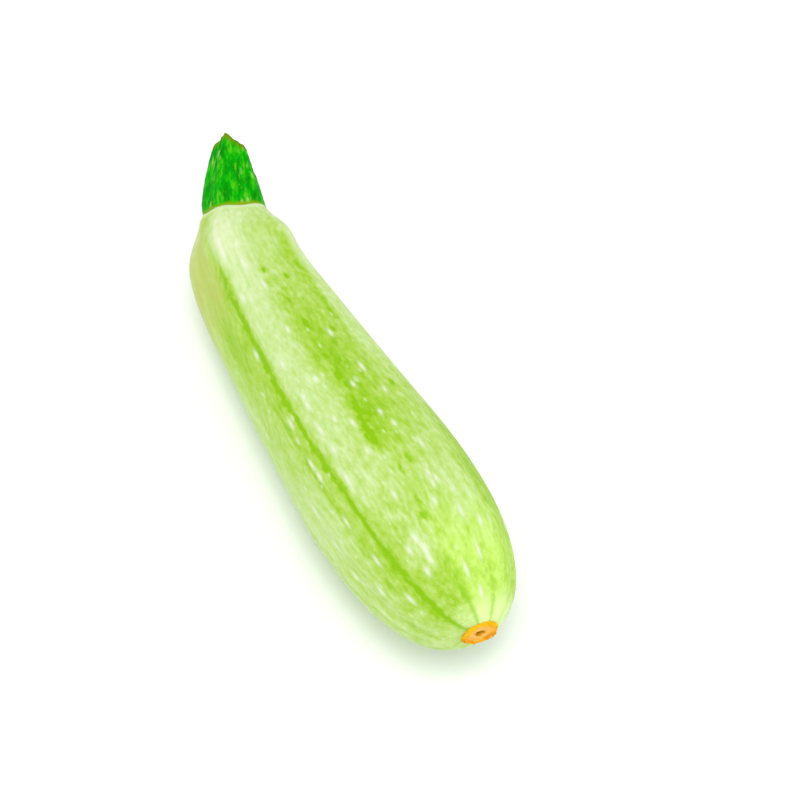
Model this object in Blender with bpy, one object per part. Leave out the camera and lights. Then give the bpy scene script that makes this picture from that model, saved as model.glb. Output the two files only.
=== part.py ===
"""A pale green zucchini, as picked, lying on its side.

Three solids: the ribbed fruit, the five-ribbed stem that it hung from, and the corky
disc where its flower dropped off. The fruit is turned from a profile, then its ribs
are raised and its neck is bent aside. Metres, +X to the flower end, +Z up. The origin
is on the ground, under the middle of the whole object.
"""

import math

import bmesh
import bpy
from mathutils import Matrix, Vector

# Driving dimensions of the fruit
FRUIT_LENGTH = 0.190
FRUIT_DIAMETER = 0.060
WIDEST_AT = 0.665  # share of the length from the stem
TAPER = 0.645  # how much of the radius the neck loses
TAPER_POWER = 1.19
SHOULDER_SHARE = 0.09  # of the length, drawn in at the stem
SHOULDER_LOSS = 0.34  # how much of the radius it loses there
SHOULDER_POWER = 2.1
BLUNT_SHARE = 0.34  # of the length, rounded over at the flower end
BLUNT_POWER = 2.53
SAG = 0.0025  # how far the middle hangs below the two ends
END_DROOP = 0.0028  # how far the flower end turns down again

# Ribs: five broad ones that run down from the stem, and ten narrow furrows
BROAD_RIBS = 5
FURROWS = 10
RIB_ANGLE = math.radians(119)  # of one broad rib's crest, from +Y over +Z
FURROW_ANGLE = math.radians(133)
LOBES_AT = 0.11  # share of the length where the neck's lobes are highest
LOBE_HEIGHT = 0.046  # shares of the radius, from here down to LUMP_HEIGHT
BODY_RIB_HEIGHT = 0.014
FURROW_DEPTH = 0.014
END_FURROW_DEPTH = 0.030
LUMP_HEIGHT = 0.006
LUMP_DRIFT = 5  # how fast the lumps turn round along the length, in radians
NECK_SHARE = 0.15  # of the length, past which the furrows deepen
FURROW_SHARPNESS = 5
SWELLS_FROM = 0.007  # share of the length, just past the stem's socket
NECK_SWELLS = (  # of single lobes: degrees round, half width in degrees, height, share of the length
    (172, 24, -0.0012, 0.03),
    (42, 18, 0.0010, 0.06),
    (194, 20, 0.0008, 0.09),
)

# The neck swings aside, and the stem with it
NECK_LENGTH = 0.050
LEAN = math.tan(math.radians(31))
LEAN_TOWARDS = math.radians(49)  # above +Y
STEM_CURL = 0.0029  # how far the stem's tip goes on past its lean

# The stem, in its socket
STEM_LENGTH = 0.022
STEM_TIP_DIAMETER = 0.0108
STEM_TAPER_POWER = 1.42
STEM_FOOT_RIB_HEIGHT = 0.06  # shares of the radius
STEM_TIP_RIB_HEIGHT = 0.11
STEM_RIB_RISE = 6  # the ribs reach their full height in a sixth of the stem's length
STEM_GROOVE_DEPTH = 0.035
CUT_NORMAL = Vector((-0.62, 0.69, -0.37))  # the knife's plane, facing away
CUT_AT = 0.0174  # along the stem, where the knife crossed its middle
OVERLENGTH = 1.4  # how much longer the stem was before the cut
SOCKET_DEPTH = 0.0012
GAP = 0.0003  # between solids that touch

# The corky disc at the flower end
SCAR_DIAMETER = 0.0125
SCAR_PROUD = 0.0009  # how far its rim stands out of the fruit
SCAR_DEPTH = 0.0012  # how far it sits into the fruit
SCAR_PIT_RADIUS = 0.0013
SCAR_PIT_DEPTH = 0.0008  # below the seat's edge, as the heights from here on are above it
SCAR_LIP_HEIGHT = 0.0005  # round the pit
SCAR_DISH_HEIGHT = 0.0003
SCAR_LIP_AT = 0.45  # shares of the disc's radius, from here on
SCAR_DISH_AT = 0.70
SCAR_RIM_FROM = 0.84
SCAR_RIM_TO = 0.91
SCAR_LOBES = 0.035

# How it lies
PITCH = math.radians(4.6)  # the stem end dips until the underside is level
FLAT_DEPTH = 0.0008  # pressed flat where it rests

# Fineness of the solids
STEPS = 80
SHOULDER_RINGS = 7
BARREL_RINGS = 22
BLUNT_RINGS = 13
STEM_RINGS = 12

# Colour, roughness
SKIN = ((0.56, 0.76, 0.24, 1.0), 0.38)
STEM_GREEN = ((0.04, 0.30, 0.02, 1.0), 0.55)
CORK = ((0.80, 0.43, 0.13, 1.0), 0.80)


def rounded(share, power):
    """Height of a rounded end, 1 where it begins (share 0) and 0 at its tip (share 1)."""
    return (1 - min(1.0, share) ** power) ** (1 / power)


def fruit_radius(along):
    """Radius of the turned fruit at a share of its length from the stem."""
    taper = 1 - TAPER * max(0.0, WIDEST_AT - along) ** TAPER_POWER
    shoulder = 1 - SHOULDER_LOSS * max(0.0, 1 - along / SHOULDER_SHARE) ** SHOULDER_POWER
    blunt = rounded(max(0.0, 1 - (1 - along) / BLUNT_SHARE), BLUNT_POWER)
    return FRUIT_DIAMETER / 2 * taper * shoulder * blunt


def share_of_height(height, power):
    """The share at which rounded() gives this height."""
    return (1 - height**power) ** (1 / power)


def broad_rib(angle):
    """1 on the crest of a broad rib, -1 in the trough between two."""
    return math.cos(BROAD_RIBS * (angle - RIB_ANGLE))


def furrow(angle):
    """1 at the bottom of a narrow furrow, falling quickly to 0 beside it."""
    return (0.5 + 0.5 * math.cos(FURROWS * (angle - FURROW_ANGLE))) ** FURROW_SHARPNESS


def lumps(along, angle):
    """Slow unevenness, as no fruit grows quite round."""
    return (
        math.sin(2 * angle + LUMP_DRIFT * along + 1.3)
        + 0.7 * math.sin(3 * angle - LUMP_DRIFT * along + 0.5)
        + 0.7 * math.sin(angle + 2 * LUMP_DRIFT * along)
    )


def fruit_relief(along, angle):
    """What the ribs, furrows and lumps make of the turned radius, as a factor."""
    body = 1 - math.exp(-along / NECK_SHARE)
    swell = along / LOBES_AT * math.exp(1 - along / LOBES_AT)
    rib = BODY_RIB_HEIGHT + LOBE_HEIGHT * swell
    depth = FURROW_DEPTH * body + (END_FURROW_DEPTH - FURROW_DEPTH) * along**4
    lump = LUMP_HEIGHT * body
    return 1 + rib * broad_rib(angle) - depth * furrow(angle) + lump * lumps(along, angle)


def neck_swell(along, angle):
    """How far the neck's uneven lobes stand out of the even ones, in metres."""
    total = 0.0
    for degrees, half_width, height, at in NECK_SWELLS:
        aside = (math.degrees(angle) - degrees + 180) % 360 - 180
        share = max(0.0, along - SWELLS_FROM) / (at - SWELLS_FROM)
        total += height * math.exp(-((aside / half_width) ** 2)) * (share * math.exp(1 - share)) ** 2
    return total


def stem_relief(along, angle):
    """The stem's ribs rise quickly from its foot, with a groove on each side of a rib."""
    full = STEM_FOOT_RIB_HEIGHT + (STEM_TIP_RIB_HEIGHT - STEM_FOOT_RIB_HEIGHT) * along
    rib = BODY_RIB_HEIGHT + (full - BODY_RIB_HEIGHT) * min(1.0, STEM_RIB_RISE * along)
    return 1 + rib * broad_rib(angle) - STEM_GROOVE_DEPTH * along * furrow(angle)


def scar_relief(angle):
    """Five shallow lobes, one for each petal that stood there."""
    return 1 + SCAR_LOBES * math.cos(BROAD_RIBS * (angle - RIB_ANGLE))


def swing(station):
    """How far the middle line stands aside at a station on the straight axis, and its slope there."""
    if station < 0:
        out = -station / STEM_LENGTH
        aside = LEAN * NECK_LENGTH / 3 - LEAN * station + STEM_CURL * out**3
        return aside, -LEAN - 3 * STEM_CURL / STEM_LENGTH * out**2
    rest = max(0.0, 1 - station / NECK_LENGTH)
    return LEAN * NECK_LENGTH / 3 * rest**3, -LEAN * rest**2


def droop(station):
    """How far the middle line hangs below the straight axis at a station, and its slope there."""
    share = station / FRUIT_LENGTH
    end_length = 1 - WIDEST_AT
    end = max(0.0, share - WIDEST_AT) / end_length
    depth = 4 * SAG * share * (1 - share) + END_DROOP * end**2
    slope = 4 * SAG * (1 - 2 * share) + 2 * END_DROOP * end / end_length
    return depth, slope / FRUIT_LENGTH


def bent(station, offset):
    """Takes a point of a straight cross-section to where the bent middle line carries it."""
    aside, lean = swing(station)
    depth, fall = droop(station)
    towards = Vector((0, math.cos(LEAN_TOWARDS), math.sin(LEAN_TOWARDS)))
    tangent = Vector((1, 0, -fall)) + lean * towards
    turn = Vector((1, 0, 0)).rotation_difference(tangent)
    return Vector((station, 0, -depth)) + aside * towards + turn @ offset


def turned(profile):
    """A closed surface turned round the X axis from (station, radius) points."""
    shape = bmesh.new()
    line = [shape.verts.new((x, 0, r)) for x, r in profile]
    edges = [shape.edges.new(pair) for pair in zip(line, line[1:])]
    bmesh.ops.rotate(
        shape, verts=line, cent=(0, 0, 0), matrix=Matrix.Rotation(FURROW_ANGLE - math.pi / 2, 3, "X")
    )
    bmesh.ops.spin(
        shape, geom=line + edges, axis=(1, 0, 0), cent=(0, 0, 0), angle=2 * math.pi, steps=STEPS
    )
    bmesh.ops.remove_doubles(shape, verts=shape.verts, dist=1e-6)
    bmesh.ops.recalc_face_normals(shape, faces=shape.faces)
    return shape


def reshape(shape, relief):
    """Raises the ribs by relief(station, angle), then bends what leans."""
    for vert in shape.verts:
        station, y, z = vert.co
        factor = relief(station, math.atan2(z, y))
        vert.co = bent(station, Vector((0, y, z)) * factor)


def fruit_profile():
    """From the middle of the stem's socket, over the shoulder and the barrel, to the scar's seat."""
    stem_seat = fruit_radius(0)
    scar_seat = SCAR_DIAMETER / 2 + GAP
    last = share_of_height(scar_seat / (FRUIT_DIAMETER / 2), BLUNT_POWER)
    barrel = 1 - BLUNT_SHARE - SHOULDER_SHARE
    alongs = [SHOULDER_SHARE * i / SHOULDER_RINGS for i in range(SHOULDER_RINGS)]
    alongs += [SHOULDER_SHARE + barrel * i / BARREL_RINGS for i in range(BARREL_RINGS)]
    for i in range(BLUNT_RINGS + 1):
        share = math.sin(math.asin(last) * i / BLUNT_RINGS)
        alongs.append(1 - BLUNT_SHARE + BLUNT_SHARE * share)
    skin = [(along * FRUIT_LENGTH, fruit_radius(along)) for along in alongs]
    socket_floor = skin[0][0] + SOCKET_DEPTH
    seat_floor = skin[-1][0] - SCAR_DEPTH
    socket = [(socket_floor, 0), (socket_floor, stem_seat / 2), (socket_floor, stem_seat)]
    seat = [(seat_floor, scar_seat), (seat_floor, scar_seat / 2), (seat_floor, 0)]
    return socket + skin + seat


def stem_profile(base):
    """A cone from its base in the socket, long enough for the knife to cut."""
    half_base = fruit_radius(0) - GAP
    half_tip = STEM_TIP_DIAMETER / 2
    cone = [(base, half_base)]
    for i in range(STEM_RINGS + 1):
        share = OVERLENGTH * i / STEM_RINGS
        radius = half_base + (half_tip - half_base) * share**STEM_TAPER_POWER
        cone.append((-share * STEM_LENGTH, radius))
    return [(base, 0), (base, half_base / 2), *cone, (cone[-1][0], 0)]


def scar_profile(floor):
    """A low disc with a raised rim, a dished face and a pit where the style stood."""
    half = SCAR_DIAMETER / 2
    face = floor + SCAR_DEPTH
    return [
        (face - SCAR_PIT_DEPTH, 0),
        (face - SCAR_PIT_DEPTH * 0.75, SCAR_PIT_RADIUS * 0.6),
        (face + SCAR_LIP_HEIGHT * 0.8, SCAR_PIT_RADIUS),
        (face + SCAR_LIP_HEIGHT, half * SCAR_LIP_AT),
        (face + SCAR_DISH_HEIGHT, half * SCAR_DISH_AT),
        (face + SCAR_PROUD * 0.95, half * SCAR_RIM_FROM),
        (face + SCAR_PROUD, half * SCAR_RIM_TO),
        (face + SCAR_PROUD * 0.6, half),
        (floor + GAP, half),
        (floor + GAP, half / 2),
        (floor + GAP, 0),
    ]


def cut_flat(shape, point, normal):
    """Cuts away what lies on the normal's side of a plane, and closes the cut."""
    geometry = [*shape.verts, *shape.edges, *shape.faces]
    cut = bmesh.ops.bisect_plane(
        shape, geom=geometry, dist=1e-6, plane_co=point, plane_no=normal, clear_outer=True
    )
    rim = [piece for piece in cut["geom_cut"] if isinstance(piece, bmesh.types.BMEdge)]
    bmesh.ops.holes_fill(shape, edges=rim, sides=0)
    bmesh.ops.recalc_face_normals(shape, faces=shape.faces)


def finish_material(name, colour, roughness):
    material = bpy.data.materials.new(name)
    material.use_nodes = True
    shader = material.node_tree.nodes["Principled BSDF"]
    shader.inputs["Base Color"].default_value = colour
    shader.inputs["Roughness"].default_value = roughness
    shader.inputs["Metallic"].default_value = 0.0
    return material


def node(name, shape, look):
    """One named object of its own material from a finished shape."""
    mesh = bpy.data.meshes.new(name)
    shape.to_mesh(mesh)
    shape.free()
    mesh.materials.append(finish_material(name, *look))
    mesh.shade_smooth()
    mesh.set_sharp_from_angle(angle=math.radians(40))
    made = bpy.data.objects.new(name, mesh)
    bpy.context.scene.collection.objects.link(made)
    return made


def skin_relief(station, angle):
    along = station / FRUIT_LENGTH
    return fruit_relief(along, angle) + neck_swell(along, angle) / fruit_radius(along)


def make_fruit():
    profile = fruit_profile()
    shape = turned(profile)
    reshape(shape, skin_relief)
    return shape, profile[0][0], profile[-1][0]


def make_stem(socket_floor):
    base = socket_floor - GAP
    shape = turned(stem_profile(base))
    reshape(shape, lambda station, angle: stem_relief(max(0.0, -station / STEM_LENGTH), angle))
    cut_flat(shape, bent(-CUT_AT, Vector((0, 0, 0))), CUT_NORMAL)
    return shape


def make_scar(seat_floor):
    shape = turned(scar_profile(seat_floor))
    reshape(shape, lambda station, angle: scar_relief(angle))
    return shape


def lay_down(shapes):
    """Tips the shapes until the underside is level, flattens it, and centres them on the origin."""
    tip = Matrix.Rotation(-PITCH, 3, "Y")
    for shape in shapes:
        bmesh.ops.rotate(shape, verts=shape.verts, cent=(0, 0, 0), matrix=tip)
    points = [vert.co for shape in shapes for vert in shape.verts]
    low = Vector([min(point[axis] for point in points) for axis in range(3)])
    high = Vector([max(point[axis] for point in points) for axis in range(3)])
    middle = (low + high) / 2
    shift = Vector((-middle.x, -middle.y, -low.z - FLAT_DEPTH))
    for shape in shapes:
        bmesh.ops.translate(shape, verts=shape.verts, vec=shift)
    cut_flat(shapes[0], Vector((0, 0, 0)), Vector((0, 0, -1)))


for old in list(bpy.data.objects):
    bpy.data.objects.remove(old)
fruit, socket_floor, seat_floor = make_fruit()
stem = make_stem(socket_floor)
scar = make_scar(seat_floor)
lay_down([fruit, stem, scar])
node("fruit", fruit, SKIN)
node("stem", stem, STEM_GREEN)
node("blossom_scar", scar, CORK)
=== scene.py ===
"""A pale green zucchini lying on a white surface, as the camera looks down on it."""

import math

import bpy
import numpy as np
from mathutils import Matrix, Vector


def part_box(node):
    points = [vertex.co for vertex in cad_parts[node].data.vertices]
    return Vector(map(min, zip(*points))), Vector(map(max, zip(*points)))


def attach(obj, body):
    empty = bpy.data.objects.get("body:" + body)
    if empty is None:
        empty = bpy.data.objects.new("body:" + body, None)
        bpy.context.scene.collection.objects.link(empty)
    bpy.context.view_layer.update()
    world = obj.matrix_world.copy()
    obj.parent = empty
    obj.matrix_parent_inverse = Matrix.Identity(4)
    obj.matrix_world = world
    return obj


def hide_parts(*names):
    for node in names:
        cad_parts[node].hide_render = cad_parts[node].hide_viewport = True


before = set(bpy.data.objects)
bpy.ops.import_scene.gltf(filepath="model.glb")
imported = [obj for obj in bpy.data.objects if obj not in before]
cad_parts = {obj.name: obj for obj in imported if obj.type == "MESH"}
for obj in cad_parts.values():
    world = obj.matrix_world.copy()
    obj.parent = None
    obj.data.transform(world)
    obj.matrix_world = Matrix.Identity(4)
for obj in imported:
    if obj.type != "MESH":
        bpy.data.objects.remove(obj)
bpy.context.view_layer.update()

# The fruit: the whole body grew in one piece, with a firm waxy skin over pale flesh. Five
# broad ribs run down from the stem and sink into the body, narrow furrows run on to the
# flower end, and the skin is streaked and speckled lengthwise, as its cells grew.
FRUIT_LENGTH = 0.190
FRUIT_DIAMETER = 0.060
WIDEST_AT = 0.665  # share of the length from the stem
TAPER = 0.645
TAPER_POWER = 1.19
SHOULDER_SHARE = 0.09
SHOULDER_LOSS = 0.34
SHOULDER_POWER = 2.1
BLUNT_SHARE = 0.34
BLUNT_POWER = 2.53
SAG = 0.0025
END_DROOP = 0.0028
BROAD_RIBS = 5
RIB_STEP = 2 * math.pi / BROAD_RIBS
FURROWS = 10
RIB_ANGLE = math.radians(119)  # of one broad rib's crest, from +Y over +Z
FURROW_ANGLE = math.radians(133)
LOBES_AT = 0.11
LOBE_HEIGHT = 0.046
BODY_RIB_HEIGHT = 0.014
FURROW_DEPTH = 0.014
END_FURROW_DEPTH = 0.030
LUMP_HEIGHT = 0.006
LUMP_DRIFT = 5
NECK_SHARE = 0.15
FURROW_SHARPNESS = 5
NECK_LENGTH = 0.050
LEAN = math.tan(math.radians(31))
LEAN_TOWARDS = math.radians(49)
STEM_LENGTH = 0.022
STEM_CURL = 0.0029
SCAR_DIAMETER = 0.0125
GAP = 0.0003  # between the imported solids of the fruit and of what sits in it
PITCH = math.radians(4.6)
SKIN_COLUMNS = 360
SHOULDER_ROWS = 40
BARREL_ROWS = 110
BLUNT_ROWS = 80
FINE_WAVES = 26  # small unevenness of the skin, each a wave of its own direction
FINE_WAVE_HEIGHT = 0.00009
WAVES_ROUND = (3, 26)  # how often a wave goes up and down round the fruit, at least and at most
WAVE_DRIFT = 22  # how far it turns along the length at most, in radians
NECK_RISE = 12  # the waves are at their full height, and the crease deepest, a twelfth along
CREASE_ANGLE = math.radians(133)  # of one crease between the neck's lobes
CREASE_DEPTH = 0.0006
CREASE_HALF_WIDTH = math.radians(6)
COLLAR_SCALLOP = 0.0006  # how far the skin reaches up the stem on each rib
COLLAR_REACH = 0.0003  # and how far it reaches all round
COLLAR_SHARE = 0.012  # of the length, over which that fades
STEM_LIP = (0.0008, 0.0012)  # how far the edge turns in under the stem, lengthwise and inwards
SCAR_LIP = (0.0010, 0.0016)  # and under the flower's scar
SEAT_ASKEW = math.tan(math.radians(10))  # how far the flower's seat turns to one side
SEAT_REACH = 0.008  # how far from its middle the skin turns with it
SEAT_SOFTNESS = 0.001
SEAT_END = 0.02  # the length at the flower end where that holds
WANDER = 0.035  # how far the markings wander round, in radians
WANDER_WAVE = 2.6 * math.pi
MAP_MARGIN = 0.01  # left free at the edges of the flat map that the finish is baked to
SWELLS_FROM = 0.007  # share of the length, just past the stem's socket
NECK_SWELLS = (  # of single lobes: degrees round, half width in degrees, height, share of the length
    (172, 24, -0.0012, 0.03),
    (42, 18, 0.0010, 0.06),
    (194, 20, 0.0008, 0.09),
)


def rounded(share, power):
    """Height of a rounded end, 1 where it begins (share 0) and 0 at its tip (share 1)."""
    return (1 - np.minimum(1.0, share) ** power) ** (1 / power)


def share_of_height(height, power):
    """The share at which rounded() gives this height."""
    return (1 - height**power) ** (1 / power)


def fruit_radius(along):
    taper = 1 - TAPER * np.maximum(0.0, WIDEST_AT - along) ** TAPER_POWER
    shoulder = 1 - SHOULDER_LOSS * np.maximum(0.0, 1 - along / SHOULDER_SHARE) ** SHOULDER_POWER
    blunt = rounded(np.maximum(0.0, 1 - (1 - along) / BLUNT_SHARE), BLUNT_POWER)
    return FRUIT_DIAMETER / 2 * taper * shoulder * blunt


def broad_rib(angle):
    """1 on the crest of a broad rib, -1 in the trough between two."""
    return np.cos(BROAD_RIBS * (angle - RIB_ANGLE))


def furrow(angle):
    """1 at the bottom of a narrow furrow, falling quickly to 0 beside it."""
    return (0.5 + 0.5 * np.cos(FURROWS * (angle - FURROW_ANGLE))) ** FURROW_SHARPNESS


def lumps(along, angle):
    first = np.sin(2 * angle + LUMP_DRIFT * along + 1.3)
    second = 0.7 * np.sin(3 * angle - LUMP_DRIFT * along + 0.5)
    return first + second + 0.7 * np.sin(angle + 2 * LUMP_DRIFT * along)


def fine_waves(along, angle):
    """Small waves that run mostly lengthwise, from a fixed draw."""
    draw = np.random.default_rng(7)
    total = np.zeros(np.broadcast(along, angle).shape)
    for _ in range(FINE_WAVES):
        around = draw.integers(*WAVES_ROUND)
        lengthwise = draw.uniform(-WAVE_DRIFT, WAVE_DRIFT)
        total += np.sin(around * angle + lengthwise * along + draw.uniform(0, 2 * np.pi))
    return total / math.sqrt(FINE_WAVES)


def fruit_relief(along, angle):
    body = 1 - np.exp(-along / NECK_SHARE)
    swell = along / LOBES_AT * np.exp(1 - along / LOBES_AT)
    rib = BODY_RIB_HEIGHT + LOBE_HEIGHT * swell
    depth = FURROW_DEPTH * body + (END_FURROW_DEPTH - FURROW_DEPTH) * along**4
    lump = LUMP_HEIGHT * body
    return 1 + rib * broad_rib(angle) - depth * furrow(angle) + lump * lumps(along, angle)


def swing(station):
    """How far the middle line stands aside at a station on the straight axis, and its slope there."""
    out = np.maximum(0.0, -station / STEM_LENGTH)
    rest = np.maximum(0.0, 1 - station / NECK_LENGTH)
    start = LEAN * NECK_LENGTH / 3
    stem_aside = start - LEAN * station + STEM_CURL * out**3
    stem_slope = -LEAN - 3 * STEM_CURL / STEM_LENGTH * out**2
    aside = np.where(station < 0, stem_aside, start * rest**3)
    return aside, np.where(station < 0, stem_slope, -LEAN * rest**2)


def droop(station):
    """How far the middle line hangs below the straight axis at a station, and its slope there."""
    share = station / FRUIT_LENGTH
    end_length = 1 - WIDEST_AT
    end = np.maximum(0.0, share - WIDEST_AT) / end_length
    depth = 4 * SAG * share * (1 - share) + END_DROOP * end**2
    slope = 4 * SAG * (1 - 2 * share) + 2 * END_DROOP * end / end_length
    return depth, slope / FRUIT_LENGTH


def bent(station, radius, angle):
    """Takes points of straight cross-sections to where the bent middle line carries them."""
    aside, lean = swing(station)
    depth, fall = droop(station)
    aside_y = math.cos(LEAN_TOWARDS)
    aside_z = math.sin(LEAN_TOWARDS)
    tangent_y = lean * aside_y
    tangent_z = lean * aside_z - fall
    length = np.sqrt(1 + tangent_y**2 + tangent_z**2)
    tangent_y = tangent_y / length
    tangent_z = tangent_z / length
    y = radius * np.cos(angle)
    z = radius * np.sin(angle)
    twist = (tangent_y * z - tangent_z * y) / (1 + 1 / length)
    bent_x = station - tangent_y * y - tangent_z * z
    bent_y = aside * aside_y + y / length - tangent_z * twist
    bent_z = aside * aside_z + z / length + tangent_y * twist
    return np.stack([bent_x, bent_y, bent_z - depth], -1)


def pitched(points):
    """Tips the points until the underside is level."""
    x = points[..., 0] * math.cos(PITCH) - points[..., 2] * math.sin(PITCH)
    z = points[..., 0] * math.sin(PITCH) + points[..., 2] * math.cos(PITCH)
    return np.stack([x, points[..., 1], z], -1)


def turned_piece(name, rows, traits, flat_map):
    """A closed mesh from rows of points, from the stem's side over the outside to the other end.

    traits are values for each point, that the materials read by name. flat_map says where
    each row lies on the flat map that the finish is baked to, and each column follows.
    """
    row_count, columns = rows.shape[:2]
    points = rows.reshape(-1, 3)
    ends = np.array([rows[0].mean(0), rows[-1].mean(0)])
    index = np.arange(row_count * columns).reshape(row_count, columns)
    after = np.roll(index, -1, axis=1)
    quads = np.stack([index[:-1], after[:-1], after[1:], index[1:]], -1).reshape(-1, 4)
    first_fan = [(len(points), b, a) for a, b in zip(index[0], after[0])]
    last_fan = [(len(points) + 1, a, b) for a, b in zip(index[-1], after[-1])]
    mesh = bpy.data.meshes.new(name)
    mesh.from_pydata(np.vstack([points, ends]), [], quads.tolist() + first_fan + last_fan)
    mesh.shade_smooth()
    for trait, values in traits.items():
        flat = values.reshape(row_count * columns, -1)
        closing = [values[0].reshape(columns, -1).mean(0), values[-1].reshape(columns, -1).mean(0)]
        flat = np.vstack([flat, *closing])
        kind, field = ("FLOAT_VECTOR", "vector") if flat.shape[1] == 3 else ("FLOAT", "value")
        mesh.attributes.new(trait, kind, "POINT").data.foreach_set(field, flat.ravel())
    corners = np.empty(len(mesh.loops), np.int32)
    mesh.loops.foreach_get("vertex_index", corners)
    column = np.append(np.tile(np.arange(columns), row_count), [0, 0])[corners]
    row = np.append(np.repeat(np.arange(row_count), columns), [0, row_count - 1])[corners]
    starts = np.empty(len(mesh.polygons), np.int32)
    sizes = np.empty(len(mesh.polygons), np.int32)
    mesh.polygons.foreach_get("loop_start", starts)
    mesh.polygons.foreach_get("loop_total", sizes)
    wraps = np.maximum.reduceat(column, starts) == columns - 1
    wraps &= np.minimum.reduceat(column, starts) == 0
    column = column + columns * (np.repeat(wraps, sizes) & (column == 0))
    layer = mesh.uv_layers.new(name="OFBake")
    layer.data.foreach_set("uv", flat_map(row, column / columns).ravel().astype(np.float32))
    piece = bpy.data.objects.new(name, mesh)
    bpy.context.scene.collection.objects.link(piece)
    return piece


def askew(points):
    """Turns the flower's seat a little aside, with the skin that is close round it."""
    centre = bent(np.array(FRUIT_LENGTH), np.array(0.0), np.array(0.0))
    away = np.hypot(points[..., 1] - centre[1], points[..., 2] - centre[2])
    at_end = points[..., 0] > centre[0] - SEAT_END
    held = at_end / (1 + np.exp((away - SEAT_REACH) / SEAT_SOFTNESS))
    x = points[..., 0] + SEAT_ASKEW * (points[..., 1] - centre[1]) * held
    return np.stack([x, points[..., 1], points[..., 2]], -1)


def skin_grid():
    """The fruit's rows, from the middle of the stem's seat to the middle of the scar's."""
    last = share_of_height((SCAR_DIAMETER / 2 + GAP) / (FRUIT_DIAMETER / 2), BLUNT_POWER)
    shoulder = SHOULDER_SHARE * np.linspace(0, 1, SHOULDER_ROWS, endpoint=False)
    barrel = np.linspace(SHOULDER_SHARE, 1 - BLUNT_SHARE, BARREL_ROWS, endpoint=False)
    turn = np.arcsin(last) * np.linspace(0, 1, BLUNT_ROWS)
    blunt = 1 - BLUNT_SHARE + BLUNT_SHARE * np.sin(turn)
    along = np.concatenate([shoulder, barrel, blunt])
    angle = np.linspace(0, 2 * np.pi, SKIN_COLUMNS, endpoint=False)
    return np.meshgrid(along, angle, indexing="ij")


along, angle = skin_grid()
pattern_angle = angle + WANDER * np.sin(WANDER_WAVE * along + 1.0) * np.sin(np.pi * along)
radius = fruit_radius(along) * fruit_relief(along, angle)
radius = radius + FINE_WAVE_HEIGHT * fine_waves(along, pattern_angle) * np.minimum(1, NECK_RISE * along)
from_crease = (angle - CREASE_ANGLE + RIB_STEP / 2) % RIB_STEP - RIB_STEP / 2
crease = np.exp(-((from_crease / CREASE_HALF_WIDTH) ** 2))
radius = radius - CREASE_DEPTH * crease * NECK_RISE * along * np.exp(1 - NECK_RISE * along)
for degrees, half_width, height, at in NECK_SWELLS:
    aside = (np.degrees(angle) - degrees + 180) % 360 - 180
    share = np.maximum(0.0, along - SWELLS_FROM) / (at - SWELLS_FROM)
    radius = radius + height * np.exp(-((aside / half_width) ** 2)) * (share * np.exp(1 - share)) ** 2
station = along * FRUIT_LENGTH
collar = COLLAR_REACH + COLLAR_SCALLOP * (0.5 + 0.5 * broad_rib(angle))
station = station - collar * np.exp(-along / COLLAR_SHARE)
station = np.concatenate([station[:1] + STEM_LIP[0], station, station[-1:] - SCAR_LIP[0]])
radius = np.concatenate([radius[:1] - STEM_LIP[1], radius, radius[-1:] - SCAR_LIP[1]])
along = np.concatenate([along[:1], along, along[-1:]])
angle = np.concatenate([angle[:1], angle, angle[-1:]])
pattern_angle = np.concatenate([pattern_angle[:1], pattern_angle, pattern_angle[-1:]])
skin_rows = pitched(askew(bent(station, radius, angle)))
straight = np.stack([station, radius * np.cos(pattern_angle), radius * np.sin(pattern_angle)], -1)

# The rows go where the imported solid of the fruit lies, and are pressed flat where it rests.
low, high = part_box("fruit")
middle = (skin_rows.min((0, 1)) + skin_rows.max((0, 1))) / 2
lay = np.array([(low.x + high.x) / 2 - middle[0], (low.y + high.y) / 2 - middle[1], 0.0])
lay[2] = high.z - skin_rows[..., 2].max()
skin_rows = skin_rows + lay
skin_rows[..., 2] = np.maximum(skin_rows[..., 2], 0.0)

# Its markings, drawn on the fruit's own length and angles. Each broad rib has a pale crest
# and beside it a deep green groove with a softer strip. All are listed rib by rib, from the
# first. The largest blots and flecks of the upper side are set out singly, and so are the
# painted highlights near the flower end, which go in with the flecks.
DEGREE = math.pi / 180
PAST_END = 2  # a share of the length that nothing reaches
BEFORE_START = -0.1
EDGE = 3.5  # degrees over which most markings fade
PLAIN_GREEN = 0.50
SLOW_GREEN = 0.10  # how much that varies
NECK_PALER = (0.15, 0.16)  # by how much, and over what share of the length
GROOVE_OFF = 12  # degrees past the crest
NECK_SWERVES = (25, 0, 12, 8, 15)  # degrees that it swings out where it leaves the stem
SWERVE_SHARE = 0.035  # of the length, over which that fades
SWERVE_BACK = (0.11, 0.15, 0.07)  # how much of it swings back, where, and half the length of that
NECK_SHIFTS = (0, -7, 3, -4, 2)
SHIFT_SHARE = 0.20
LOW_BENDS = ((0.78, 0.92, 1), (0.94, PAST_END, -1))  # shares of the length from and to, degrees
GROOVE_STRENGTHS = (1.0, 0.45, 0.60, 0.40, 0.70)
GROOVE_FROM = (0.13, 0.05, 0.13, 0.13, 0.13)
GROOVE_TO = (PAST_END, 0.40, 0.90, 0.60, PAST_END)
GROOVE_FADE = 0.02
FAINT_GROOVE = (0.10, 0.03)  # what share of it shows before that, and from where
GROOVE_WIDTH = 0.0010  # half of it, as in the next two widths
GROOVE_UNEVEN = 0.6  # how much that varies
END_GROOVE_WIDTH = 0.0011
END_GROOVE_FROM = 0.76
NECK_GROOVE_WIDTH = 0.0005  # how much wider it is where it begins
NECK_GROOVE_AT = 0.17
NECK_GROOVE_HALF = 0.07
TIP_NARROWING = 0.45  # how much narrower it is at the disc
TIP_NARROW_SPAN = (0.965, PAST_END, 0.01)  # shares from and to, and over which it begins and ends
TIP_FADING = 0.5
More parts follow.
